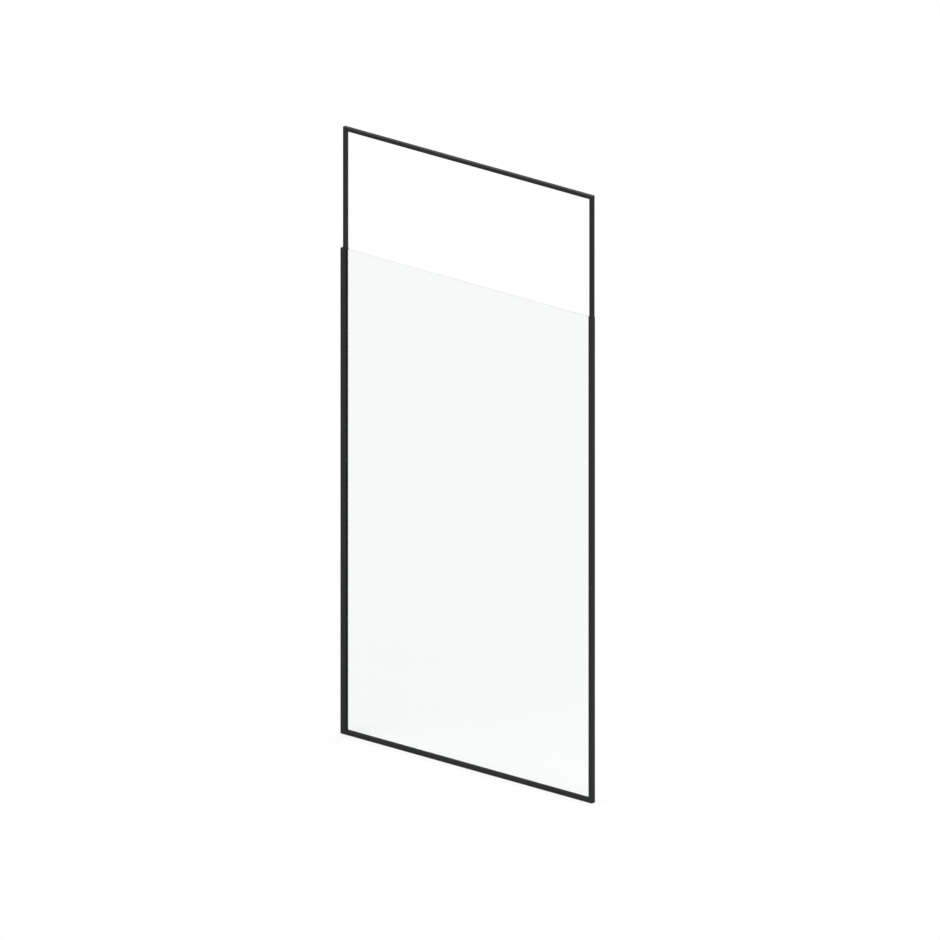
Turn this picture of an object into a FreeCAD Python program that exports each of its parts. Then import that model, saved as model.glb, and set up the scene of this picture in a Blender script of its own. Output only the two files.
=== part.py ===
"""A walk-in shower screen: one clear fixed pane in black aluminium sections, under a tube hoop.

Millimetres. X runs along the screen from the wall, Y through it, Z up.
The origin is at the foot of the wall face, in the middle of the screen's thickness.
"""
import FreeCAD
import Part
import Sketcher
import os
import re

# Driving dimensions
SIZES = {
    "screen_width": 1200,
    "glazed_height": 2000,
    "hoop_height": 500,
    "profile_depth": 20,
    "section_wall": 1.5,
    "wall_profile_face": 25,
    "slim_profile_face": 17,
    "chamber_depth": 4,
    "mouth_lip": 0.7,
    "mouth_lip_length": 1,
    "tube_width": 15,
    "edge_radius": 0.5,
    "mitre_gap": 0.1,
    "glass_thickness": 8,
    "glass_edge_gap": 1.5,
    "glass_arris": 0.8,
    "seal_grip": 6,
    "seal_lip": 1,
    "seal_flange": 0.6,
    "seal_round": 0.3,
    "fin_pitch": 1.6,
    "fin_land": 0.5,
    "fin_depth": 0.5,
    "block_thickness": 3,
    "block_length": 100,
    "cap_thickness": 1.5,
    "cap_peg": 8,
    "channel_wall": 1.5,
    "channel_end_gap": 1,
    "channel_top_gap": 8.5,
    "wall_hole": 5.5,
    "wall_hole_inset": 155,
    "fit_gap": 0.2,
    "spigot_reach": 60,
    "spigot_chamfer": 0.8,
    "key_reach": 50,
    "key_web": 3,
    "key_rim": 2,
}

# Counts and shares that no length changes
WALL_HOLES = 4
SEAL_GROOVES = 3
BLOCK_SHARE = 0.25

# How near two places are the same place, in millimetres
NEAR = 1e-4

# Places that several pieces share, each worked out from the driving dimensions
FORMULAS = {
    "screen_height": "glazed_height + hoop_height",
    "half_depth": "profile_depth / 2",
    "bay_half": "profile_depth / 2 - section_wall",
    "mouth_half": "bay_half - mouth_lip",
    "glass_half": "glass_thickness / 2",
    "bore_half": "tube_width / 2 - section_wall",
    "cap_underside": "glazed_height - cap_thickness",
    "post_start": "wall_profile_face - tube_width",
    "slim_chamber": "section_wall",
    "slim_floor": "section_wall + chamber_depth + section_wall",
    "wall_chamber": "post_start + section_wall",
    "wall_floor": "wall_chamber + chamber_depth + section_wall",
    "glass_left": "wall_floor + glass_edge_gap",
    "glass_right": "screen_width - slim_floor - glass_edge_gap",
    "glass_bottom": "slim_floor + block_thickness",
    "channel_leg": "post_start - channel_end_gap",
    "channel_length": "cap_underside - channel_top_gap",
    "wall_hole_span": "channel_length - 2 * wall_hole_inset",
    "floor_span": "screen_width - wall_profile_face - slim_profile_face",
    "key_half": "bore_half - fit_gap",
}

doc = FreeCAD.newDocument("ShowerScreen")
sheet = doc.addObject("Spreadsheet::Sheet", "Sizes")
for row, (alias, value) in enumerate(SIZES.items(), start=1):
    sheet.set("A%d" % row, alias)
    sheet.set("B%d" % row, str(value))
    sheet.setAlias("B%d" % row, alias)
doc.recompute()


def on_sheet(text):
    """The expression with each formula written out and each size read from the sheet."""
    def write_out(match):
        name = match.group()
        if name in FORMULAS:
            return "(" + on_sheet(FORMULAS[name]) + ")"
        return "Sizes." + name if name in SIZES else name
    return re.sub(r"[a-z_]{3,}", write_out, str(text))


def number(text):
    """What the expression comes to now, in millimetres."""
    value = sheet.evalExpression(on_sheet(text))
    return float(getattr(value, "Value", value))


def bind(item, prop, text):
    """Tie a property to the sheet."""
    item.setExpression(prop, on_sheet(text))


# Placements: each side of the screen is drawn from its own outer face towards the glass

def place(item, x="0", y="0", z="0"):
    for axis, text in zip("xyz", (x, y, z)):
        bind(item, "Placement.Base." + axis, text)


def turn(item, axis, angle):
    item.Placement = FreeCAD.Placement(FreeCAD.Vector(), FreeCAD.Rotation(FreeCAD.Vector(*axis), angle))


def on_wall_side(item, z="0"):
    place(item, z=z)


def on_free_side(item, z="0"):
    """Turned half round, so that drawn X runs from the free end back towards the wall."""
    turn(item, (0, 0, 1), 180)
    place(item, x="screen_width", z=z)


def on_floor(item, x):
    """Laid down, so that drawn X runs up from the floor and drawn Z runs along the screen."""
    turn(item, (1, 0, 1), 180)
    place(item, x=x)


# Sketches and features

def origin_plane(body, role):
    return next(item for item in body.Origin.OriginFeatures if item.Role == role)


def new_body(label):
    body = doc.addObject("PartDesign::Body", label)
    body.Label = label
    return body


def outline(body, name, plane, *loops):
    """A sketch of closed loops of straight lines; each corner is a pair of expressions."""
    sketch = body.newObject("Sketcher::SketchObject", name)
    sketch.AttachmentSupport = [(origin_plane(body, plane), "")]
    sketch.MapMode = "FlatFace"
    for corners in loops:
        draw_loop(sketch, corners)
    return sketch


def draw_loop(sketch, corners):
    first = sketch.GeometryCount
    count = len(corners)
    points = [FreeCAD.Vector(number(across), number(up), 0) for across, up in corners]
    for i in range(count):
        sketch.addGeometry(Part.LineSegment(points[i], points[(i + 1) % count]), False)
    for i in range(count):
        sketch.addConstraint(Sketcher.Constraint("Coincident", first + i, 2, first + (i + 1) % count, 1))
    kinds = (("Vertical", "DistanceX", -2), ("Horizontal", "DistanceY", -1))
    for which, (level, distance, axis) in enumerate(kinds):
        for i in range(count):
            text = corners[i][which]
            if i > 0 and text == corners[i - 1][which]:
                sketch.addConstraint(Sketcher.Constraint(level, first + i - 1))
            elif i == count - 1 and text == corners[0][which]:
                sketch.addConstraint(Sketcher.Constraint(level, first + i))
            elif text == "0":
                sketch.addConstraint(Sketcher.Constraint("PointOnObject", first + i, 1, axis))
            else:
                index = sketch.addConstraint(
                    Sketcher.Constraint(distance, -1, 1, first + i, 1, number(text)))
                bind(sketch, "Constraints[%d]" % index, text)


def rectangle(left, right, low, high):
    return [(left, low), (right, low), (right, high), (left, high)]


def pad(body, sketch, length, both_ways=False, downwards=False):
    feature = body.newObject("PartDesign::Pad", sketch.Label + "Pad")
    feature.Profile = sketch
    bind(feature, "Length", length)
    feature.Reversed = downwards
    if both_ways:
        feature.SideType = "Symmetric"
    doc.recompute()
    return feature


def cut_through(body, sketch):
    """Cut the sketch's loops right through the body, both ways from the sketch."""
    before = body.Shape.Volume
    feature = body.newObject("PartDesign::Pocket", sketch.Label + "Cut")
    feature.Profile = sketch
    feature.Type = "ThroughAll"
    feature.SideType = "Symmetric"
    doc.recompute()
    if not body.Shape.Volume < before:
        raise RuntimeError(body.Label + ": " + sketch.Label + " cuts nothing")
    return feature


def long_edges(shape, corners):
    """Names of the edges that run along Z through the given corners of the section."""
    names = []
    for index, edge in enumerate(shape.Edges, start=1):
        box = edge.BoundBox
        if box.ZLength < max(box.XLength, box.YLength):
            continue
        for across, through in corners:
            if abs(box.Center.x - across) < NEAR and abs(abs(box.Center.y) - through) < NEAR:
                names.append("Edge%d" % index)
    return names


def round_edges(body, corners, radius="edge_radius"):
    """Round the long outer edges at these corners, alike on both sides of the middle plane."""
    base = body.Tip
    places = [(number(across), number(through)) for across, through in corners]
    feature = body.newObject("PartDesign::Fillet", "RoundedEdges")
    feature.Base = (base, long_edges(base.Shape, places))
    bind(feature, "Radius", radius)
    doc.recompute()


def chamfer_ends(body, size):
    """Break the edges round the two level end faces."""
    base = body.Tip
    ends = ["Face%d" % index for index, face in enumerate(base.Shape.Faces, start=1)
            if face.BoundBox.ZLength < NEAR]
    feature = body.newObject("PartDesign::Chamfer", "BrokenEdges")
    feature.Base = (base, ends)
    bind(feature, "Size", size)
    doc.recompute()


def bar(label, left, right, half_width, low, high):
    """A plain bar between two X and two Z values, centred on the middle plane."""
    item = doc.addObject("Part::Box", label)
    item.Label = label
    bind(item, "Length", "(%s) - (%s)" % (right, left))
    bind(item, "Width", "2 * (%s)" % half_width)
    bind(item, "Height", "(%s) - (%s)" % (high, low))
    return item


# Extruded sections that hold the glass

def glazing_profile(label, face, chamber, floor, length):
    """An extruded section: a closed chamber, then a lipped pocket that opens towards the glass."""
    body = new_body(label)
    section = outline(body, "Section", "XY_Plane", rectangle("0", face, "-(half_depth)", "half_depth"))
    pad(body, section, length)
    neck = face + " - mouth_lip_length"
    beyond = face + " + edge_radius"
    openings = outline(
        body, "Hollows", "XY_Plane",
        rectangle(chamber, floor + " - section_wall", "-(bay_half)", "bay_half"),
        [(floor, "-(bay_half)"), (neck, "-(bay_half)"), (neck, "-(mouth_half)"),
         (beyond, "-(mouth_half)"), (beyond, "mouth_half"), (neck, "mouth_half"),
         (neck, "bay_half"), (floor, "bay_half")])
    cut_through(body, openings)
    return body


def key_notch(body, floor):
    """The slot milled in the foot of an upright, where the corner key comes through."""
    notch = outline(body, "KeyNotch", "YZ_Plane",
                    rectangle("-(bay_half)", "bay_half", "0", "slim_floor - section_wall"))
    bind(notch, "AttachmentOffset.Base.z", floor)
    before = body.Shape.Volume
    feature = body.newObject("PartDesign::Pocket", "KeyNotchCut")
    feature.Profile = notch
    bind(feature, "Length", "section_wall")
    doc.recompute()
    if not body.Shape.Volume < before:
        raise RuntimeError(body.Label + ": the key notch cuts nothing")


def wall_glazing_profile():
    body = glazing_profile("wall_glazing_profile", "wall_profile_face", "wall_chamber", "wall_floor",
                           "cap_underside")
    rear = outline(body, "RearPocket", "XY_Plane",
                   rectangle("-(edge_radius)", "post_start", "-(bay_half)", "bay_half"))
    cut_through(body, rear)
    key_notch(body, "wall_floor")
    round_edges(body, [("wall_profile_face", "half_depth")])
    on_wall_side(body)
    return body


def post_glazing_profile():
    body = glazing_profile("post_glazing_profile", "slim_profile_face", "slim_chamber", "slim_floor",
                           "cap_underside")
    key_notch(body, "slim_floor")
    round_edges(body, [("0", "half_depth"), ("slim_profile_face", "half_depth")])
    on_free_side(body)
    return body


def floor_glazing_profile():
    body = glazing_profile("floor_glazing_profile", "slim_profile_face", "slim_chamber", "slim_floor",
                           "floor_span")
    round_edges(body, [("slim_profile_face", "half_depth")])
    on_floor(body, "wall_profile_face")
    return body


def wall_channel():
    """The channel screwed to the wall, over which the wall profile slides."""
    body = new_body("wall_channel")
    outside = "bay_half - fit_gap"
    inside = "bay_half - fit_gap - channel_wall"
    section = outline(body, "Section", "XY_Plane", [
        ("0", "-(%s)" % outside), ("channel_leg", "-(%s)" % outside),
        ("channel_leg", "-(%s)" % inside), ("channel_wall", "-(%s)" % inside),
        ("channel_wall", inside), ("channel_leg", inside),
        ("channel_leg", outside), ("0", outside)])
    pad(body, section, "channel_length")
    hole = body.newObject("Sketcher::SketchObject", "WallHole")
    hole.AttachmentSupport = [(origin_plane(body, "YZ_Plane"), "")]
    hole.MapMode = "FlatFace"
    centre = FreeCAD.Vector(0, number("wall_hole_inset"), 0)
    hole.addGeometry(Part.Circle(centre, FreeCAD.Vector(0, 0, 1), number("wall_hole / 2")), False)
    hole.addConstraint(Sketcher.Constraint("PointOnObject", 0, 3, -2))
    height = hole.addConstraint(Sketcher.Constraint("DistanceY", -1, 1, 0, 3, centre.y))
    bind(hole, "Constraints[%d]" % height, "wall_hole_inset")
    across = hole.addConstraint(Sketcher.Constraint("Diameter", 0, number("wall_hole")))
    bind(hole, "Constraints[%d]" % across, "wall_hole")
    drilled = cut_through(body, hole)
    row = body.newObject("PartDesign::LinearPattern", "WallHoles")
    row.Originals = [drilled]
    row.Direction = (hole, ["V_Axis"])
    bind(row, "Length", "wall_hole_span")
    row.Occurrences = WALL_HOLES
    body.Tip = row
    doc.recompute()
    on_wall_side(body)
    return body


# Glass, seals and setting blocks

def glass_pane():
    body = new_body("glass_pane")
    sheet_outline = outline(body, "Sheet", "XZ_Plane",
                            rectangle("glass_left", "glass_right", "glass_bottom", "cap_underside"))
    plate = pad(body, sheet_outline, "glass_thickness", both_ways=True)
    arris = body.newObject("PartDesign::Chamfer", "PolishedArris")
    face_edges = ["Edge%d" % index for index, edge in enumerate(plate.Shape.Edges, start=1)
                  if edge.BoundBox.YLength < edge.BoundBox.DiagonalLength / 2]
    arris.Base = (plate, face_edges)
    bind(arris, "Size", "glass_arris")
    doc.recompute()
    return body


def seal(label, face, side, length):
    """A wedge seal in one side of a pocket, mitred at its foot.

    Its shoulder hooks behind the section's lip, its flange laps the section's end, and grooves
    on the glass side leave fins that grip the pane.
    """
    body = new_body(label)
    deep = face + " - seal_grip"
    neck = face + " - mouth_lip_length"
    out = face + " + seal_lip"
    inner = side + "(glass_half)"
    nose = side + "(mouth_half - seal_lip)"
    mouth = side + "(mouth_half)"
    flange = side + "(mouth_half + seal_flange)"
    shoulder = side + "(bay_half)"
    section = outline(body, "Section", "XY_Plane", [
        (deep, inner), (out, inner), (out, nose), (face + " + seal_lip / 2", flange),
        (face, flange), (face, mouth), (neck, mouth), (neck, shoulder), (deep, shoulder)])
    pad(body, section, length)
    round_edges(body, [(out, "mouth_half - seal_lip")], "seal_round")
    grooves = []
    for step in range(SEAL_GROOVES):
        start = "%s - %d * fin_pitch" % (face, step + 1)
        grooves.append([(start, inner), (start + " + fin_pitch - fin_land", inner),
                        (start, side + "(glass_half + fin_depth)")])
    cut_through(body, outline(body, "FinGrooves", "XY_Plane", *grooves))
    cut_through(body, outline(body, "FootMitre", "XZ_Plane",
                              [(deep, "0"), (out, "0"), (out, "seal_grip + seal_lip")]))
    return body


def floor_seal(label, side, length):
    """A seal mitred at both ends, its shoulder cut back there to pass inside the uprights' lips."""
    face = "slim_profile_face"
    body = seal(label, face, side, length)
    out = face + " + seal_lip"
    cut_through(body, outline(body, "HeadMitre", "XZ_Plane", [
        (face + " - seal_grip", length), (out, length + " - seal_grip - seal_lip"), (out, length)]))
    mouth = side + "(mouth_half)"
    shoulder = side + "(bay_half)"
    cut_through(body, outline(body, "ShoulderTrim", "YZ_Plane",
                              rectangle(mouth, shoulder, "0", "seal_grip"),
                              rectangle(mouth, shoulder, length + " - seal_grip", length)))
    return body


def seals():
    """Six seals, mitred where the floor's meet the uprights'."""
    foot = "slim_profile_face - seal_grip"
    rise = "cap_underside - slim_profile_face + seal_grip"
    run = "floor_span + 2 * seal_grip"
    pieces = []
    for word, wall_sign, turned_sign in (("front", "-", ""), ("back", "", "-")):
        upright = seal("wall_seal_" + word, "wall_profile_face", wall_sign, rise)
        on_wall_side(upright, z=foot)
        free = seal("post_seal_" + word, "slim_profile_face", turned_sign, rise)
        on_free_side(free, z=foot)
        level = floor_seal("floor_seal_" + word, turned_sign, run)
        on_floor(level, "wall_profile_face - seal_grip")
        pieces += [upright, free, level]
    return pieces


def setting_blocks():
    """Two blocks under the glass, each centred at its share of the width from an edge."""
    pieces = []
    for label, share in (("setting_block_wall_side", BLOCK_SHARE),
                         ("setting_block_free_side", 1 - BLOCK_SHARE)):
        block = bar(label, "0", "block_length", "bay_half - fit_gap", "slim_floor", "glass_bottom")
        place(block, "glass_left + %s * (glass_right - glass_left) - block_length / 2" % share,
              "fit_gap - (bay_half)", "slim_floor")
        pieces.append(block)
    return pieces


# Joining pieces and caps, drawn on the wall side and turned round for the free side

def corner_outline(left, top, thickness, reach, inset="0"):
    """An L with its corner at top left, one leg along X and one leg down, drawn in by an inset."""
    near = "%s + (%s)" % (left, inset)
    high = "%s - (%s)" % (top, inset)
    inner = "%s + (%s) - (%s)" % (left, thickness, inset)
    under = "%s - (%s) + (%s)" % (top, thickness, inset)
    tip = "%s + %s - (%s)" % (left, reach, inset)
    toe = "%s - %s + (%s)" % (top, reach, inset)
    return [(near, high), (tip, high), (tip, under), (inner, under), (inner, toe), (near, toe)]


def foot_key(label, chamber, floor, face):
    """The flat corner key that joins an upright to the floor profile, through their chambers."""
    body = new_body(label)
    left = chamber + " + fit_gap"
    right = floor + " - section_wall - fit_gap"
    low = "slim_chamber + fit_gap"
    high = "slim_floor - section_wall - fit_gap"
    tip = face + " + key_reach"
    shape = outline(body, "Key", "XZ_Plane", [
        (left, low), (tip, low), (tip, high), (right, high), (right, "key_reach"), (left, "key_reach")])
    pad(body, shape, "2 * (mouth_half - fit_gap)", both_ways=True)
    return body


def head_key(label, start):
    """The cast corner key in the bores of the hoop: a thin web with a rim all round it."""
    body = new_body(label)
    left = "%s + section_wall + fit_gap" % start
    top = "screen_height - section_wall - fit_gap"
    thickness = "2 * (key_half)"
    web = outline(body, "Web", "XZ_Plane", corner_outline(left, top, thickness, "key_reach"))
    pad(body, web, "key_web", both_ways=True)
    rim = outline(body, "Rim", "XZ_Plane", corner_outline(left, top, thickness, "key_reach"),
                  corner_outline(left, top, thickness, "key_reach", inset="key_rim"))
    pad(body, rim, thickness, both_ways=True)
    return body


def post_spigot(label, chamber, floor):
    """The flat bar that stands in a profile's chamber and holds up a hoop post."""
    body = new_body(label)
    shape = outline(body, "Bar", "XZ_Plane", rectangle(
        chamber + " + fit_gap", floor + " - section_wall - fit_gap",
        "glazed_height - spigot_reach", "glazed_height + spigot_reach"))
    pad(body, shape, "2 * (key_half)", both_ways=True)
    chamfer_ends(body, "spigot_chamfer")
    return body


def profile_cap(label, face, chamber, floor, corners):
    """A moulded cap over the end of a profile and the glass in it, slotted for the spigot."""
    body = new_body(label)
    plate = outline(body, "Plate", "XY_Plane", rectangle("0", face, "-(half_depth)", "half_depth"))
    pad(body, plate, "cap_thickness")
    round_edges(body, corners)
    slot = outline(body, "SpigotSlot", "XY_Plane", rectangle(
        chamber, floor + " - section_wall", "-(bore_half)", "bore_half"))
    cut_through(body, slot)
    left = chamber + " + fit_gap"
    right = floor + " - section_wall - fit_gap"
    pegs = outline(body, "Pegs", "XY_Plane",
                   rectangle(left, right, "bore_half + fit_gap", "bay_half - fit_gap"),
                   rectangle(left, right, "-(bay_half - fit_gap)", "-(bore_half + fit_gap)"))
    pad(body, pegs, "cap_peg", downwards=True)
    return body


def joining_pieces():
    pieces = []
    for name, on_side, chamber, floor, face, start, square_at_wall in (
            ("wall", on_wall_side, "wall_chamber", "wall_floor", "wall_profile_face", "post_start", True),
            ("free", on_free_side, "slim_chamber", "slim_floor", "slim_profile_face", "0", False)):
        key = foot_key("foot_key_%s_side" % name, chamber, floor, face)
        on_side(key)
        corner = head_key("head_key_%s_side" % name, start)
        on_side(corner)
        spigot = post_spigot("post_spigot_%s_side" % name, chamber, floor)
        on_side(spigot)
        corners = [(face, "half_depth")] + ([] if square_at_wall else [("0", "half_depth")])
        cap = profile_cap("profile_cap_%s_side" % name, face, chamber, floor, corners)
        on_side(cap, z="cap_underside")
        pieces += [key, corner, spigot, cap]
    return pieces


# The tube hoop over the glass

def tube(label, left, length):
    """A square tube along drawn Z, centred on the middle plane."""
    body = new_body(label)
    right = left + " + tube_width"
    section = outline(
        body, "Section", "XY_Plane",
        rectangle(left, right, "-(tube_width / 2)", "tube_width / 2"),
        rectangle(left + " + section_wall", right + " - section_wall", "-(bore_half)", "bore_half"))
    pad(body, section, length)
    round_edges(body, [(left, "tube_width / 2"), (right, "tube_width / 2")])
    return body


def hoop_post(label, start):
    """A hoop upright, its top mitred for the rail."""
    body = tube(label, start, "hoop_height")
    right = start + " + tube_width"
    mitre = outline(body, "Mitre", "XZ_Plane", [
        (start, "hoop_height - mitre_gap"), (right, "hoop_height - tube_width - mitre_gap"),
        (right, "hoop_height + mitre_gap"), (start, "hoop_height + mitre_gap")])
    cut_through(body, mitre)
    return body


def top_rail():
    """The hoop's rail, mitred at both ends; drawn upright and laid down."""
    rail_length = "screen_width - post_start"
    body = tube("top_rail", "0", rail_length)
    mitres = outline(
        body, "Mitres", "XZ_Plane",
        [("0", "-(mitre_gap)"), ("tube_width", "-(mitre_gap)"), ("tube_width", "mitre_gap"),
         ("0", "tube_width + mitre_gap")],
        [("0", rail_length + " + mitre_gap"), ("0", rail_length + " - tube_width - mitre_gap"),
         ("tube_width", rail_length + " - mitre_gap"), ("tube_width", rail_length + " + mitre_gap")])
    cut_through(body, mitres)
    on_floor(body, "post_start")
    bind(body, "Placement.Base.z", "screen_height - tube_width")
    return body


def hoop():
    wall_post = hoop_post("hoop_post_wall_side", "post_start")
    on_wall_side(wall_post, z="glazed_height")
    free_post = hoop_post("hoop_post_free_side", "0")
    on_free_side(free_post, z="glazed_height")
    return [wall_post, free_post, top_rail()]


pieces = [wall_channel(), wall_glazing_profile(), post_glazing_profile(), floor_glazing_profile(),
          glass_pane()]
pieces += seals() + setting_blocks() + joining_pieces() + hoop()
doc.recompute()

for item in doc.Objects:
    if "Invalid" in item.State or "Error" in item.State:
        raise RuntimeError("%s is %s" % (item.Label, item.State))
for piece in pieces:
    if piece.Shape.isNull() or not piece.Shape.isValid() or len(piece.Shape.Solids) != 1:
        raise RuntimeError(piece.Label + " is not one valid solid")

os.makedirs("parts", exist_ok=True)
for piece in pieces:
    piece.Shape.exportStep("parts/%s.step" % piece.Label)
    box = piece.Shape.BoundBox
    print("%-26s X %.1f to %.1f, Y %.1f to %.1f, Z %.1f to %.1f, volume %.0f" % (
        piece.Label, box.XMin, box.XMax, box.YMin, box.YMax, box.ZMin, box.ZMax, piece.Shape.Volume))
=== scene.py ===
"""Finishes, screws and a studio stage for a walk-in shower screen, laid out as an add-on.

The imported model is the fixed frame: its pieces stay where they are. Lengths are in metres, with
X along the screen from the wall, Y through its thickness and Z up from the floor.
"""

import math

import bpy
import numpy as np
from bpy.props import FloatProperty, FloatVectorProperty, IntProperty, PointerProperty
from mathutils import Matrix, Vector


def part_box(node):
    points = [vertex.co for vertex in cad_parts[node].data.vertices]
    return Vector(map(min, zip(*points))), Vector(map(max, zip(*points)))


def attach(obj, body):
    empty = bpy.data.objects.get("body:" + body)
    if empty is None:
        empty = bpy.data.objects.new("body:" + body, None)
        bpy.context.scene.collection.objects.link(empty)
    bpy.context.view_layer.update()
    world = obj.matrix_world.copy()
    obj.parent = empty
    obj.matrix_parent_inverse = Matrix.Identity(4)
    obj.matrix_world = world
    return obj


bl_info = {
    "name": "Walk-in Shower Screen",
    "version": (1, 0, 0),
    "blender": (4, 5, 0),
    "location": "3D View > Sidebar > Shower Screen",
    "description": "Finishes, screws and a studio stage for a framed shower screen",
    "category": "Object",
}

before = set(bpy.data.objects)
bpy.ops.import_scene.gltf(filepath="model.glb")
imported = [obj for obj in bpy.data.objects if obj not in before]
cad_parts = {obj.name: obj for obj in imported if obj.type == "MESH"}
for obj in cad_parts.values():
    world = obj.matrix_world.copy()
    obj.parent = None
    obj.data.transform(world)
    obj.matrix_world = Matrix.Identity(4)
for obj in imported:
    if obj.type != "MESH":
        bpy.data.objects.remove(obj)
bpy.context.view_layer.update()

COATED_NODES = ("wall_glazing_profile", "post_glazing_profile", "floor_glazing_profile",
                "hoop_post_wall_side", "hoop_post_free_side", "top_rail")
MILL_NODES = ("wall_channel", "post_spigot_wall_side", "post_spigot_free_side",
              "foot_key_wall_side", "foot_key_free_side")
CAST_NODES = ("head_key_wall_side", "head_key_free_side")
SEAL_NODES = ("wall_seal_front", "wall_seal_back", "post_seal_front", "post_seal_back",
              "floor_seal_front", "floor_seal_back")
MOULDED_NODES = ("profile_cap_wall_side", "profile_cap_free_side",
                 "setting_block_wall_side", "setting_block_free_side")

# Pixels along a side of the square image
IMAGE_SIDE = 940
# The seen floor's light, a little over one so that it stays white
SEEN_WHITE = 1.01
FLOOR_GREY = 0.8
FLOOR_HALF = 60.0
CAMERA_DISTANCE = 8.0
CAMERA_REACH = 100.0
GLASS_IOR = 1.52
# The fine noise's detail, and the broad noise's detail and patches to a metre
FINE_DETAIL = 3
BROAD_DETAIL = 2
BROAD_SCALE = 5
NOISE_MIDDLE = 0.5
# Width and height of a place in a node tree's grid
NODE_GRID = (200, 220)
# A sheet's face has at least this share of its normal through the sheet
FACE_NORMAL = 0.9
# Share of its colour that the polished edge keeps where it meets a black section, at the darkest of
# the painted shade there
LEAST_SHARE_UNDER_PAINTED_SHADE = 0.04
# Faces that meet at less than this angle are shaded as one
SMOOTH_BELOW = math.radians(35)
QUARTER_TURN = np.linspace(0, np.pi / 2, 7)


# Settings

class FinishSettings(bpy.types.PropertyGroup):
    """Colours and textures of the screen's surfaces"""
    coat_colour: FloatVectorProperty(
        name="Coat colour", description="Black powder coat on the aluminium sections",
        subtype="COLOR", size=3, min=0, max=1, default=(0.0105, 0.0105, 0.011))
    coat_roughness: FloatProperty(
        name="Coat roughness", description="How matt the powder coat is",
        subtype="FACTOR", min=0, max=1, default=0.58)
    coat_grain: FloatProperty(
        name="Coat grain", description="Distance between the bumps of the powder coat",
        unit="LENGTH", min=0.0002, default=0.0011)
    glass_tint: FloatVectorProperty(
        name="Glass tint", description="Colour of white light after the pane",
        subtype="COLOR", size=3, min=0, max=1, default=(0.913, 0.938, 0.930))
    glass_edge_tint: FloatVectorProperty(
        name="Glass edge tint", description="Colour of the pane seen through its polished edges",
        subtype="COLOR", size=3, min=0, max=1, default=(0.85, 0.92, 0.90))
    polish_colour: FloatVectorProperty(
        name="Polish colour", description="Pale ground and polished skin of the pane's top edge",
        subtype="COLOR", size=3, min=0, max=1, default=(0.82, 0.845, 0.835))
    polish_skin: FloatProperty(
        name="Polish skin", description="How far the polished skin stands over the sheet",
        unit="LENGTH", min=0.00001, default=0.00006)
    # Reach of the painted shade that darkens the polished edge towards each black section
    painted_shade_reach: FloatProperty(
        name="Polish shade", description="How far each black section darkens the polished edge",
        unit="LENGTH", min=0.001, default=0.014)
    arris: FloatProperty(
        name="Arris", description="Size of the ground corner along the pane's edges",
        unit="LENGTH", min=0.0001, default=0.0008)
    rubber_colour: FloatVectorProperty(
        name="Rubber colour", description="Black seals round the glass",
        subtype="COLOR", size=3, min=0, max=1, default=(0.012, 0.012, 0.0125))
    plastic_colour: FloatVectorProperty(
        name="Plastic colour", description="Moulded caps and setting blocks",
        subtype="COLOR", size=3, min=0, max=1, default=(0.014, 0.014, 0.0145))
    mill_colour: FloatVectorProperty(
        name="Aluminium colour", description="Uncoated sections and castings inside the screen",
        subtype="COLOR", size=3, min=0, max=1, default=(0.50, 0.505, 0.51))


class ScrewSettings(bpy.types.PropertyGroup):
    """Sizes of the small button-head screws on the shower side"""
    head_diameter: FloatProperty(
        name="Head diameter", description="Across the button head",
        unit="LENGTH", min=0.003, default=0.0068)
    head_height: FloatProperty(
        name="Head height", description="From the section to the top of the head",
        unit="LENGTH", min=0.0005, default=0.0012)
    socket_width: FloatProperty(
        name="Socket width", description="Across the flats of the hexagonal socket",
        unit="LENGTH", min=0.001, default=0.0025)
    sides: IntProperty(
        name="Sides", description="Facets round each head, a multiple of six for its socket",
        min=12, max=96, step=6, default=48)
    profile_screws: IntProperty(
        name="Profile screws", description="Screws that lock the wall profile to its channel",
        min=2, max=6, default=3)
    end_distance: FloatProperty(
        name="End distance", description="From the ends of the wall profile to its outer screws",
        unit="LENGTH", min=0.02, default=0.16)
    post_distance: FloatProperty(
        name="Post distance", description="From the foot of a hoop post to its screw",
        unit="LENGTH", min=0.01, default=0.03)


class StageSettings(bpy.types.PropertyGroup):
    """Camera, floor and light"""
    view_azimuth: FloatProperty(
        name="Azimuth", description="Camera's turn round the screen from its front",
        subtype="ANGLE", default=math.radians(36.81))
    view_elevation: FloatProperty(
        name="Elevation", description="Camera's height as an angle over the horizon",
        subtype="ANGLE", default=math.radians(21.97))
    pixels_per_metre: FloatProperty(
        name="Image scale", description="Pixels of the square image to a metre of the object",
        min=10, default=261.81)
    origin_across: FloatProperty(
        name="Origin across", description="Image column of the screen's origin",
        subtype="PIXEL", default=341.97)
    origin_down: FloatProperty(
        name="Origin down", description="Image row of the screen's origin",
        subtype="PIXEL", default=732.5)
    ambient: FloatProperty(
        name="Ambient", description="Light from all round on matt surfaces",
        min=0, default=0.62)
    front_light: FloatProperty(
        name="Front light", description="Soft light from the front", min=0, default=1.16)
    end_light: FloatProperty(
        name="End light", description="Soft light from the free end", min=0, default=0.1)
    back_light: FloatProperty(
        name="Back light", description="Soft light from the back", min=0, default=1.05)
    light_spread: FloatProperty(
        name="Light spread", description="Angle that each soft light spans",
        subtype="ANGLE", min=0, max=math.pi, default=math.radians(35))
    floor_veil: FloatProperty(
        name="Floor veil", description="Share of the floor's seen white that shadows can dim",
        subtype="FACTOR", min=0, max=1, default=0.3)


# Node trees

def place_node(node, column, row):
    """Put a node at a place of the grid."""
    node.location = (column * NODE_GRID[0], -row * NODE_GRID[1])
    return node


def add_node(tree, kind, column, row, **settings):
    """A new node at a place of the grid, with its settings."""
    node = place_node(tree.nodes.new(kind), column, row)
    for name, value in settings.items():
        setattr(node, name, value)
    return node


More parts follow.
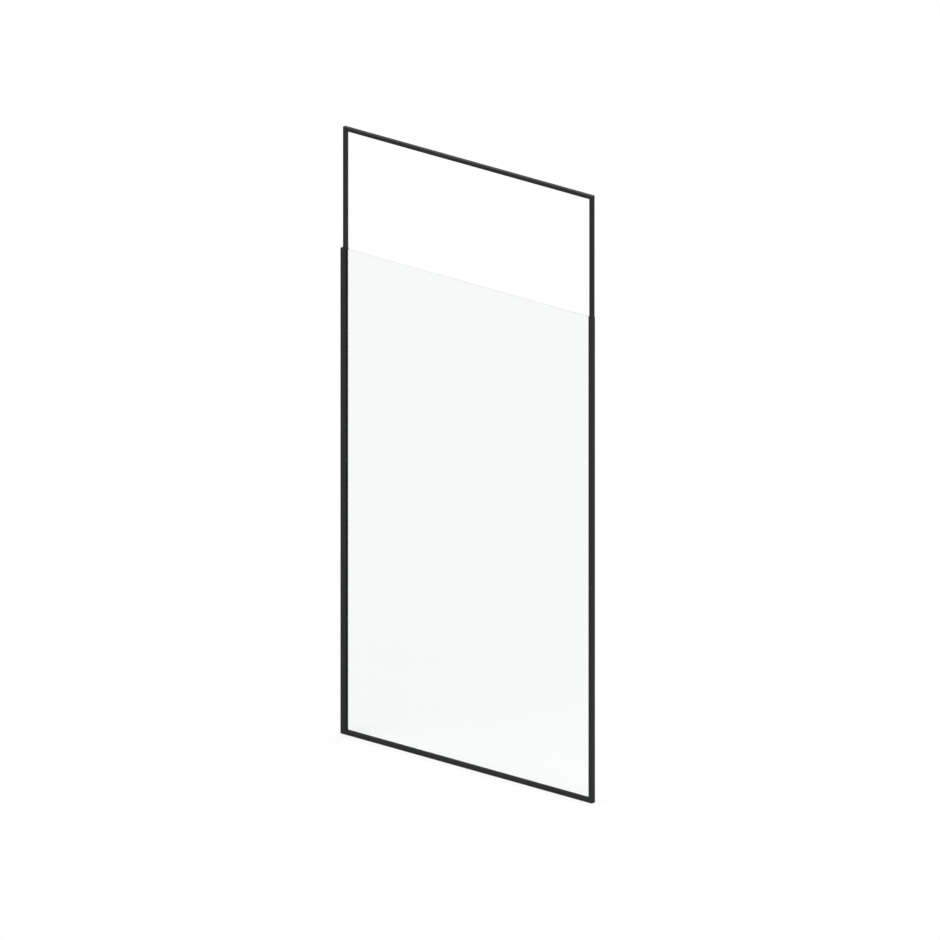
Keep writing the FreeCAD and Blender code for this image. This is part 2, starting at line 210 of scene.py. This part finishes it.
def find_node(tree, kind):
    """The first node of a kind in a tree."""
    return next(node for node in tree.nodes if node.type == kind)


def new_group(name, inputs, outputs):
    """An empty shader node group with named sockets; returns it with its two end nodes."""
    tree = bpy.data.node_groups.new(name, "ShaderNodeTree")
    for label, kind, value in inputs:
        socket = tree.interface.new_socket(name=label, in_out="INPUT", socket_type=kind)
        socket.default_value = value
    for label, kind in outputs:
        tree.interface.new_socket(name=label, in_out="OUTPUT", socket_type=kind)
    return tree, add_node(tree, "NodeGroupInput", 0, 0), add_node(tree, "NodeGroupOutput", 6, 0)


def calculate(tree, operation, column, row, *values):
    """A Math node; each value is a number or a socket to join."""
    node = add_node(tree, "ShaderNodeMath", column, row, operation=operation)
    for socket, value in zip(node.inputs, values):
        if isinstance(value, (int, float)):
            socket.default_value = value
        else:
            tree.links.new(value, socket)
    return node.outputs[0]


SURFACE_OUTPUTS = (("Colour", "NodeSocketColor"), ("Roughness", "NodeSocketFloat"),
                   ("Normal", "NodeSocketVector"))
SURFACE_INPUTS = (
    ("Colour", "NodeSocketColor", (0.5, 0.5, 0.5, 1)),
    ("Tone Spread", "NodeSocketFloat", 0.1),
    ("Roughness", "NodeSocketFloat", 0.5),
    ("Rough Spread", "NodeSocketFloat", 0.1),
    ("Stretch", "NodeSocketVector", (1, 1, 1)),
    ("Grain Size", "NodeSocketFloat", 0.001),
    ("Grain Height", "NodeSocketFloat", 0.00002),
)


def grain_group():
    """Grain from two noises over the object: a fine one for the surface and a broad one for wear.

    Both noises are taken about their middle and added. The colour is the given one times one plus
    that sum times its spread; the roughness is the given one plus that sum times its spread; the
    normal is bumped by the fine noise alone.
    """
    name = "Surface Grain"
    if name in bpy.data.node_groups:
        return bpy.data.node_groups[name]
    tree, start, end = new_group(name, SURFACE_INPUTS, SURFACE_OUTPUTS)
    place = add_node(tree, "ShaderNodeTexCoord", 0, 2)
    stretched = add_node(tree, "ShaderNodeVectorMath", 1, 2, operation="MULTIPLY")
    tree.links.new(place.outputs["Object"], stretched.inputs[0])
    tree.links.new(start.outputs["Stretch"], stretched.inputs[1])
    density = calculate(tree, "DIVIDE", 1, 1, 1.0, start.outputs["Grain Size"])
    fine = add_node(tree, "ShaderNodeTexNoise", 2, 1)
    fine.inputs["Detail"].default_value = FINE_DETAIL
    broad = add_node(tree, "ShaderNodeTexNoise", 2, 3)
    broad.inputs["Scale"].default_value = BROAD_SCALE
    broad.inputs["Detail"].default_value = BROAD_DETAIL
    tree.links.new(stretched.outputs[0], fine.inputs["Vector"])
    tree.links.new(place.outputs["Object"], broad.inputs["Vector"])
    tree.links.new(density, fine.inputs["Scale"])
    fine_part = calculate(tree, "SUBTRACT", 3, 1, fine.outputs["Fac"], NOISE_MIDDLE)
    broad_part = calculate(tree, "SUBTRACT", 3, 3, broad.outputs["Fac"], NOISE_MIDDLE)
    both = calculate(tree, "ADD", 4, 2, fine_part, broad_part)

    tone = calculate(tree, "MULTIPLY_ADD", 4, 0, both, start.outputs["Tone Spread"], 1.0)
    colour = add_node(tree, "ShaderNodeVectorMath", 5, 0, operation="SCALE")
    tree.links.new(start.outputs["Colour"], colour.inputs[0])
    tree.links.new(tone, colour.inputs["Scale"])
    tree.links.new(colour.outputs[0], end.inputs["Colour"])
    rough = calculate(tree, "MULTIPLY_ADD", 5, 1, both, start.outputs["Rough Spread"],
                      start.outputs["Roughness"])
    tree.links.new(rough, end.inputs["Roughness"])
    bump = add_node(tree, "ShaderNodeBump", 5, 2)
    tree.links.new(fine.outputs["Fac"], bump.inputs["Height"])
    tree.links.new(start.outputs["Grain Height"], bump.inputs["Distance"])
    tree.links.new(bump.outputs["Normal"], end.inputs["Normal"])
    return tree


def edge_group():
    """A mask that is 1 on the narrow edges of a sheet that stands along X and 0 on its faces.

    A face's normal lies along Y, so its size along Y is near 1 there and smaller on the edges.
    """
    name = "Sheet Edge"
    if name in bpy.data.node_groups:
        return bpy.data.node_groups[name]
    tree, _, end = new_group(name, (), (("Edge", "NodeSocketFloat"),))
    surface = add_node(tree, "ShaderNodeNewGeometry", 0, 1)
    split = add_node(tree, "ShaderNodeSeparateXYZ", 1, 1)
    tree.links.new(surface.outputs["True Normal"], split.inputs[0])
    through = calculate(tree, "ABSOLUTE", 2, 1, split.outputs["Y"])
    tree.links.new(calculate(tree, "LESS_THAN", 3, 1, through, FACE_NORMAL), end.inputs["Edge"])
    return tree


def new_material(name):
    """A material with one Principled shader; returns the material, its tree and the shader."""
    material = bpy.data.materials.new(name)
    material.use_nodes = True
    tree = material.node_tree
    shader = place_node(find_node(tree, "BSDF_PRINCIPLED"), 3, 0)
    return material, tree, shader


def grained_material(name, colour, *, tone_spread, roughness, rough_spread, size, height,
                     stretch=(1, 1, 1), metallic=0.0, specular=0.5):
    """A Principled surface whose colour, roughness and normal come from the grain group.

    The size is between bumps and the height is theirs, in metres; a stretch under one draws the
    grain out along that axis.
    """
    material, tree, shader = new_material(name)
    grain = add_node(tree, "ShaderNodeGroup", 0, 0, node_tree=grain_group())
    values = (tuple(colour) + (1.0,), tone_spread, roughness, rough_spread, stretch, size, height)
    for (label, _, _), value in zip(SURFACE_INPUTS, values):
        grain.inputs[label].default_value = value
    tree.links.new(grain.outputs["Colour"], shader.inputs["Base Color"])
    tree.links.new(grain.outputs["Roughness"], shader.inputs["Roughness"])
    tree.links.new(grain.outputs["Normal"], shader.inputs["Normal"])
    shader.inputs["Metallic"].default_value = metallic
    shader.inputs["Specular IOR Level"].default_value = specular
    return material


def paint_shade_at_ends(material, left, right, reach, least):
    """Paint shade on a material towards two X places, for the darkness that the black sections
    throw into the glass edge between them.

    The colour's share is the least one there and one from the reach inwards, with a smooth step
    between them over the distance from the nearer place.
    """
    tree = material.node_tree
    base_colour = find_node(tree, "BSDF_PRINCIPLED").inputs["Base Color"]
    colour = base_colour.links[0].from_socket
    place = add_node(tree, "ShaderNodeTexCoord", -3, -2)
    split = add_node(tree, "ShaderNodeSeparateXYZ", -2, -2)
    tree.links.new(place.outputs["Object"], split.inputs[0])
    from_left = calculate(tree, "SUBTRACT", -1, -2, split.outputs["X"], left)
    from_right = calculate(tree, "SUBTRACT", -1, -3, right, split.outputs["X"])
    nearer = calculate(tree, "MINIMUM", 0, -2, from_left, from_right)
    share = add_node(tree, "ShaderNodeMapRange", 1, -2, interpolation_type="SMOOTHSTEP")
    tree.links.new(nearer, share.inputs["Value"])
    share.inputs["From Max"].default_value = reach
    share.inputs["To Min"].default_value = least
    # Painted shade: the colour scaled down towards the black sections
    painted_shade_colour = add_node(tree, "ShaderNodeVectorMath", 2, -1, operation="SCALE")
    tree.links.new(colour, painted_shade_colour.inputs[0])
    tree.links.new(share.outputs["Result"], painted_shade_colour.inputs["Scale"])
    tree.links.new(painted_shade_colour.outputs[0], base_colour)


def dress(nodes, material):
    """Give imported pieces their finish."""
    for node in nodes:
        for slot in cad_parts[node].material_slots:
            slot.link = "OBJECT"
            slot.material = material


# Surfaces

def turned_rings(rings, sides):
    """Points of a surface turned about Z, as an array of rings by sides by three.

    Each ring is a radius, a height and a share of hexagon. The radius at an angle is the ring's
    own, times one over the cosine of the angle from the nearest flat, by that share.
    """
    radius, height, share = np.array(rings).T[:, :, None]
    angle = np.arange(sides)[None, :] * 2 * np.pi / sides
    from_flat = np.mod(angle, np.pi / 3) - np.pi / 6
    reach = radius * (1 + share * (1 / np.cos(from_flat) - 1))
    return np.stack([reach * np.cos(angle), reach * np.sin(angle), height + 0 * angle], axis=-1)


def smoothed(mesh):
    """Smooth shading with sharp corners kept."""
    mesh.validate()
    mesh.shade_smooth()
    mesh.set_sharp_from_angle(angle=SMOOTH_BELOW)
    return mesh


def closed_turned_mesh(name, rings, sides, places):
    """One mesh with a turned, closed piece at each place.

    The quads join each ring to the next and each side to the next, by index; fans of triangles
    close the first and last ring at a point on the axis. A place is a 4 by 4 matrix.
    """
    grid = turned_rings(rings, sides)
    count = len(rings)
    poles = np.array([[0, 0, rings[0][1]], [0, 0, rings[-1][1]]])
    points = np.concatenate([grid.reshape(-1, 3), poles])
    ring, side = np.meshgrid(np.arange(count - 1), np.arange(sides), indexing="ij")
    onward = (side + 1) % sides
    quads = np.stack([ring * sides + side, ring * sides + onward,
                      (ring + 1) * sides + onward, (ring + 1) * sides + side], axis=-1)
    around = np.arange(sides)
    after = (around + 1) % sides
    first_pole = count * sides
    last = (count - 1) * sides
    fans = np.concatenate([
        np.stack([after, around, np.full(sides, first_pole)], axis=-1),
        np.stack([last + around, last + after, np.full(sides, first_pole + 1)], axis=-1)])
    matrices = np.array([np.array(place) for place in places])
    homogeneous = np.concatenate([points, np.ones((len(points), 1))], axis=1)
    placed = np.einsum("pij,nj->pni", matrices, homogeneous)[:, :, :3].reshape(-1, 3)
    step = (np.arange(len(places)) * len(points))[:, None, None]
    all_quads = (quads.reshape(1, -1, 4) + step).reshape(-1, 4).tolist()
    all_fans = (fans[None] + step).reshape(-1, 3).tolist()
    mesh = bpy.data.meshes.new(name)
    mesh.from_pydata(placed.tolist(), [], all_quads + all_fans)
    return smoothed(mesh)


def crowned_strip(name, half_width, crown, skin, top, left, right):
    """A thin closed strip that wraps the upper edge of a sheet from one X to the other.

    Round its section, the outer line is a flat of the sheet's half width less the crown radius,
    with a quarter circle of that radius at each side; the inner line is the same line moved in by
    twice the skin. Along the sheet the section is carried straight.
    """
    direction = np.stack([np.cos(QUARTER_TURN), np.sin(QUARTER_TURN)], axis=-1)
    bend = np.array([half_width - crown, -crown]) + crown * direction
    out = skin * direction
    outer = np.concatenate([bend + out, (bend + out)[::-1] * [-1, 1]])
    inner = np.concatenate([bend - out, (bend - out)[::-1] * [-1, 1]])
    section = np.concatenate([outer, inner[::-1]]) + [0, top]
    count = len(section)
    points = np.concatenate([np.column_stack([np.full(count, x), section]) for x in (left, right)])
    ring = np.arange(count)
    onward = (ring + 1) % count
    sides = np.stack([ring, onward, onward + count, ring + count], axis=-1)
    pair = np.arange(count // 2 - 1)
    mirror = count - 1 - pair
    first_end = np.stack([mirror, mirror - 1, pair + 1, pair], axis=-1)
    last_end = first_end[:, ::-1] + count
    mesh = bpy.data.meshes.new(name)
    mesh.from_pydata(points.tolist(), [], np.concatenate([sides, first_end, last_end]).tolist())
    return smoothed(mesh)


def new_piece(name, mesh, material):
    """An object of the screen at the origin, riding on its one body."""
    mesh.materials.append(material)
    piece = bpy.data.objects.new(name, mesh)
    bpy.context.scene.collection.objects.link(piece)
    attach(piece, "root")
    return piece


def button_head_rings(settings):
    """The button head's profile from its foot, over the dome and down into the socket.

    Each ring is a radius, a height and a share of hexagon. The foot reaches a little into the
    section. The dome is a quarter ellipse from the rim to the socket's round mouth, and the
    socket's walls are upright from its lead-in to its floor.
    """
    outer = settings.head_diameter / 2
    top = settings.head_height
    flat = settings.socket_width / 2
    rim = 0.25 * top
    mouth = 1.22 * flat
    foot = [(0.96 * outer, -0.1 * top, 0.0), (outer, 0.0, 0.0)]
    dome = [(mouth + (outer - mouth) * math.cos(turn), rim + (top - rim) * math.sin(turn), 0.0)
            for turn in QUARTER_TURN]
    lead_in = [(1.1 * flat, 0.97 * top, 0.6)]
    walls = [(flat, 0.9 * top, 1.0), (flat, 0.3 * top, 1.0)]
    floor = [(0.5 * flat, 0.22 * top, 0.5)]
    return foot + dome + lead_in + walls + floor


def facing_back(x, y, z):
    """The matrix that sets a piece drawn along Z on a face that looks along +Y."""
    return Matrix.Translation((x, y, z)) @ Matrix.Rotation(-math.pi / 2, 4, "X")


# Operators

class SHOWER_OT_coat(bpy.types.Operator):
    """Black powder coat on the glazing profiles and the hoop"""
    bl_idname = "shower.coat"
    bl_label = "Coat the Sections"

    def execute(self, context):
        finish = context.scene.shower_finish
        coat = grained_material(
            "Black Powder Coat", finish.coat_colour, tone_spread=0.35,
            roughness=finish.coat_roughness, rough_spread=0.2, size=finish.coat_grain,
            height=0.00009, specular=0.22)
        dress(COATED_NODES, coat)
        return {"FINISHED"}


class SHOWER_OT_glass(bpy.types.Operator):
    """Clear glass with a faint tint, deeper at its polished edges"""
    bl_idname = "shower.glass"
    bl_label = "Glaze the Pane"

    def execute(self, context):
        finish = context.scene.shower_finish
        material, tree, shader = new_material("Clear Toughened Glass")
        edge = add_node(tree, "ShaderNodeGroup", 0, 0, node_tree=edge_group())
        tint = add_node(tree, "ShaderNodeMix", 1, 0, data_type="RGBA")
        tree.links.new(edge.outputs["Edge"], tint.inputs["Factor"])
        tint.inputs["A"].default_value = (*finish.glass_tint, 1.0)
        tint.inputs["B"].default_value = (*finish.glass_edge_tint, 1.0)
        tree.links.new(tint.outputs["Result"], shader.inputs["Base Color"])
        shader.inputs["Roughness"].default_value = 0.0
        shader.inputs["Metallic"].default_value = 0.0
        shader.inputs["IOR"].default_value = GLASS_IOR
        shader.inputs["Transmission Weight"].default_value = 1.0
        path = add_node(tree, "ShaderNodeLightPath", 2, 2)
        clear = add_node(tree, "ShaderNodeBsdfTransparent", 3, 2)
        clear.inputs["Color"].default_value = (*finish.glass_tint, 1.0)
        mix = add_node(tree, "ShaderNodeMixShader", 5, 0)
        output = place_node(find_node(tree, "OUTPUT_MATERIAL"), 6, 0)
        tree.links.new(path.outputs["Is Shadow Ray"], mix.inputs["Fac"])
        tree.links.new(shader.outputs["BSDF"], mix.inputs[1])
        tree.links.new(clear.outputs["BSDF"], mix.inputs[2])
        tree.links.new(mix.outputs["Shader"], output.inputs["Surface"])
        dress(("glass_pane",), material)
        self.polish_top_edge(finish)
        return {"FINISHED"}

    def polish_top_edge(self, finish):
        """The ground and polished skin of the one edge that no section hides."""
        polish = grained_material(
            "Polished Glass Edge", finish.polish_colour, tone_spread=0.06, roughness=0.18,
            rough_spread=0.08, size=0.0012, height=0.000004, stretch=(0.05, 1, 1))
        half_width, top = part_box("glass_pane")[1][1:]
        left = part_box("profile_cap_wall_side")[1][0]
        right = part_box("profile_cap_free_side")[0][0]
        # Painted shade on the polished edge towards the black caps at both ends
        paint_shade_at_ends(polish, left, right, finish.painted_shade_reach, LEAST_SHARE_UNDER_PAINTED_SHADE)
        mesh = crowned_strip("polished_top_edge", half_width, finish.arris, finish.polish_skin,
                             top, left, right)
        new_piece("polished_top_edge", mesh, polish)


class SHOWER_OT_seals(bpy.types.Operator):
    """Matt black rubber on the seals"""
    bl_idname = "shower.seals"
    bl_label = "Finish the Seals"

    def execute(self, context):
        finish = context.scene.shower_finish
        rubber = grained_material(
            "Black Seal Rubber", finish.rubber_colour, tone_spread=0.3, roughness=0.72,
            rough_spread=0.12, size=0.0006, height=0.000012, specular=0.2)
        dress(SEAL_NODES, rubber)
        return {"FINISHED"}


class SHOWER_OT_mouldings(bpy.types.Operator):
    """Fine-grained black plastic on the caps and setting blocks"""
    bl_idname = "shower.mouldings"
    bl_label = "Finish the Mouldings"

    def execute(self, context):
        finish = context.scene.shower_finish
        plastic = grained_material(
            "Black Moulded Plastic", finish.plastic_colour, tone_spread=0.12, roughness=0.5,
            rough_spread=0.1, size=0.00045, height=0.00002, specular=0.26)
        dress(MOULDED_NODES, plastic)
        return {"FINISHED"}


class SHOWER_OT_metal(bpy.types.Operator):
    """Drawn lines on the uncoated sections and a sandy skin on the castings"""
    bl_idname = "shower.metal"
    bl_label = "Finish the Bare Metal"

    def execute(self, context):
        finish = context.scene.shower_finish
        mill = grained_material(
            "Mill Aluminium", finish.mill_colour, tone_spread=0.12, roughness=0.38,
            rough_spread=0.2, size=0.0008, height=0.000008, stretch=(1, 1, 0.02), metallic=1.0)
        cast = grained_material(
            "Cast Alloy", finish.mill_colour, tone_spread=0.18, roughness=0.55,
            rough_spread=0.2, size=0.0007, height=0.00004, metallic=1.0)
        dress(MILL_NODES, mill)
        dress(CAST_NODES, cast)
        return {"FINISHED"}


class SHOWER_OT_screws(bpy.types.Operator):
    """Button-head screws on the shower side of the wall profile and the hoop posts"""
    bl_idname = "shower.screws"
    bl_label = "Add the Screws"

    def execute(self, context):
        finish = context.scene.shower_finish
        screws = context.scene.shower_screws
        black = grained_material(
            "Blackened Steel", finish.coat_colour, tone_spread=0.2, roughness=0.36,
            rough_spread=0.12, size=0.0005, height=0.000006, specular=0.35)
        low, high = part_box("wall_glazing_profile")
        channel_low, channel_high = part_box("wall_channel")
        middle = (channel_low[0] + channel_high[0]) / 2
        heights = np.linspace(low[2] + screws.end_distance, high[2] - screws.end_distance,
                              screws.profile_screws)
        places = [facing_back(middle, high[1], height) for height in heights]
        for post in ("hoop_post_wall_side", "hoop_post_free_side"):
            low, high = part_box(post)
            middle = (low[0] + high[0]) / 2
            places.append(facing_back(middle, high[1], low[2] + screws.post_distance))
        mesh = closed_turned_mesh("lock_screws", button_head_rings(screws), screws.sides, places)
        new_piece("lock_screws", mesh, black)
        return {"FINISHED"}


class SHOWER_OT_stage(bpy.types.Operator):
    """A pale floor, soft lights and the camera"""
    bl_idname = "shower.stage"
    bl_label = "Set the Stage"

    def execute(self, context):
        stage = context.scene.shower_stage
        context.scene.view_settings.view_transform = "Standard"
        set_world(context.scene, stage.ambient)
        add_floor(context.scene, stage.floor_veil)
        for name, towards, strength in (("front_light", (-2.2, -5.0, 3.4), stage.front_light),
                                        ("end_light", (5.5, 0.8, 1.6), stage.end_light),
                                        ("back_light", (-1.5, 5.0, 3.0), stage.back_light)):
            add_light(context.scene, name, Vector(towards), stage.light_spread, strength)
        add_camera(context.scene, stage)
        return {"FINISHED"}


def seen_directly(tree, column, row):
    """1 for rays from the camera, from gloss and through glass, and 0 once light has scattered.

    Light has scattered once its path has a diffuse bounce.
    """
    path = add_node(tree, "ShaderNodeLightPath", column, row)
    either = calculate(tree, "MAXIMUM", column + 1, row, path.outputs["Is Camera Ray"],
                       path.outputs["Is Glossy Ray"])
    clear = calculate(tree, "MAXIMUM", column + 2, row, either, path.outputs["Is Transmission Ray"])
    unscattered = calculate(tree, "LESS_THAN", column + 1, row + 1,
                            path.outputs["Diffuse Depth"], 1)
    return calculate(tree, "MULTIPLY", column + 3, row, clear, unscattered)


def set_world(scene, ambient):
    """White where it is seen directly, and an even grey light on matt surfaces."""
    world = bpy.data.worlds.new("Studio")
    world.use_nodes = True
    scene.world = world
    tree = world.node_tree
    background = find_node(tree, "BACKGROUND")
    background.inputs["Color"].default_value = (1, 1, 1, 1)
    direct = seen_directly(tree, -5, 0)
    strength = add_node(tree, "ShaderNodeMapRange", -1, 0)
    tree.links.new(direct, strength.inputs["Value"])
    strength.inputs["To Min"].default_value = ambient
    strength.inputs["To Max"].default_value = 1.0
    tree.links.new(strength.outputs["Result"], background.inputs["Strength"])


def add_floor(scene, veil_share):
    """A wide pale floor: matt where it lights the screen, and white with a shadow where it is seen.

    The seen white is a glow plus a matt veil that shadows can dim, which together come to one.
    """
    corners = [(-FLOOR_HALF, -FLOOR_HALF, 0), (FLOOR_HALF, -FLOOR_HALF, 0),
               (FLOOR_HALF, FLOOR_HALF, 0), (-FLOOR_HALF, FLOOR_HALF, 0)]
    mesh = bpy.data.meshes.new("studio_floor")
    mesh.from_pydata(corners, [], [(0, 1, 2, 3)])
    floor = bpy.data.objects.new("studio_floor", mesh)
    scene.collection.objects.link(floor)
    material = bpy.data.materials.new("Pale Floor")
    material.use_nodes = True
    mesh.materials.append(material)
    tree = material.node_tree
    tree.nodes.clear()
    matt = add_node(tree, "ShaderNodeBsdfDiffuse", 2, 0)
    matt.inputs["Color"].default_value = (FLOOR_GREY, FLOOR_GREY, FLOOR_GREY, 1)
    veil = add_node(tree, "ShaderNodeBsdfDiffuse", 2, 1)
    veil.inputs["Color"].default_value = (veil_share, veil_share, veil_share, 1)
    glow = add_node(tree, "ShaderNodeEmission", 2, 2)
    glow.inputs["Strength"].default_value = SEEN_WHITE - veil_share
    shown = add_node(tree, "ShaderNodeAddShader", 3, 1)
    tree.links.new(veil.outputs[0], shown.inputs[0])
    tree.links.new(glow.outputs[0], shown.inputs[1])
    mix = add_node(tree, "ShaderNodeMixShader", 4, 0)
    tree.links.new(seen_directly(tree, 0, 3), mix.inputs["Fac"])
    tree.links.new(matt.outputs[0], mix.inputs[1])
    tree.links.new(shown.outputs[0], mix.inputs[2])
    output = add_node(tree, "ShaderNodeOutputMaterial", 5, 0)
    tree.links.new(mix.outputs[0], output.inputs["Surface"])


def add_light(scene, name, towards, spread, strength):
    """A soft light from one direction, as strong near the screen as far from it."""
    data = bpy.data.lights.new(name, "SUN")
    data.angle = spread
    data.energy = strength
    light = bpy.data.objects.new(name, data)
    light.rotation_euler = towards.to_track_quat("Z", "Y").to_euler()
    scene.collection.objects.link(light)


def add_camera(scene, stage):
    """A parallel camera whose image has the screen's origin and scale at the stage's values.

    Its centre is the origin moved along the image's right and up by the pixels between the
    origin and the middle of the image, over the pixels to a metre.
    """
    azimuth = stage.view_azimuth
    elevation = stage.view_elevation
    right = Vector((math.cos(azimuth), math.sin(azimuth), 0))
    back = Vector((math.sin(azimuth) * math.cos(elevation),
                   -math.cos(azimuth) * math.cos(elevation), math.sin(elevation)))
    up = back.cross(right)
    across = (IMAGE_SIDE / 2 - stage.origin_across) / stage.pixels_per_metre
    rise = (stage.origin_down - IMAGE_SIDE / 2) / stage.pixels_per_metre
    data = bpy.data.cameras.new("Camera")
    data.type = "ORTHO"
    data.ortho_scale = IMAGE_SIDE / stage.pixels_per_metre
    data.clip_end = CAMERA_REACH
    camera = bpy.data.objects.new("Camera", data)
    camera.location = right * across + up * rise + back * CAMERA_DISTANCE
    camera.rotation_euler = back.to_track_quat("Z", "Y").to_euler()
    scene.collection.objects.link(camera)
    scene.camera = camera


class SHOWER_PT_build(bpy.types.Panel):
    """The screen's steps and settings"""
    bl_idname = "SHOWER_PT_build"
    bl_label = "Shower Screen"
    bl_space_type = "VIEW_3D"
    bl_region_type = "UI"
    bl_category = "Shower Screen"

    def draw(self, context):
        layout = self.layout
        for operator in STEPS:
            layout.operator(operator.bl_idname)
        for title, settings in (("Finish", context.scene.shower_finish),
                                ("Screws", context.scene.shower_screws),
                                ("Stage", context.scene.shower_stage)):
            box = layout.box()
            box.label(text=title)
            for name in settings.__annotations__:
                box.prop(settings, name)


STEPS = (SHOWER_OT_coat, SHOWER_OT_glass, SHOWER_OT_seals, SHOWER_OT_mouldings, SHOWER_OT_metal,
         SHOWER_OT_screws, SHOWER_OT_stage)
CLASSES = (FinishSettings, ScrewSettings, StageSettings) + STEPS + (SHOWER_PT_build,)


def register():
    for item in CLASSES:
        bpy.utils.register_class(item)
    bpy.types.Scene.shower_finish = PointerProperty(type=FinishSettings)
    bpy.types.Scene.shower_screws = PointerProperty(type=ScrewSettings)
    bpy.types.Scene.shower_stage = PointerProperty(type=StageSettings)


def unregister():
    del bpy.types.Scene.shower_stage
    del bpy.types.Scene.shower_screws
    del bpy.types.Scene.shower_finish
    for item in reversed(CLASSES):
        bpy.utils.unregister_class(item)


def main():
    """Run every step in order."""
    register()
    bpy.ops.shower.coat()
    bpy.ops.shower.glass()
    bpy.ops.shower.seals()
    bpy.ops.shower.mouldings()
    bpy.ops.shower.metal()
    bpy.ops.shower.screws()
    bpy.ops.shower.stage()


if __name__ == "__main__":
    main()
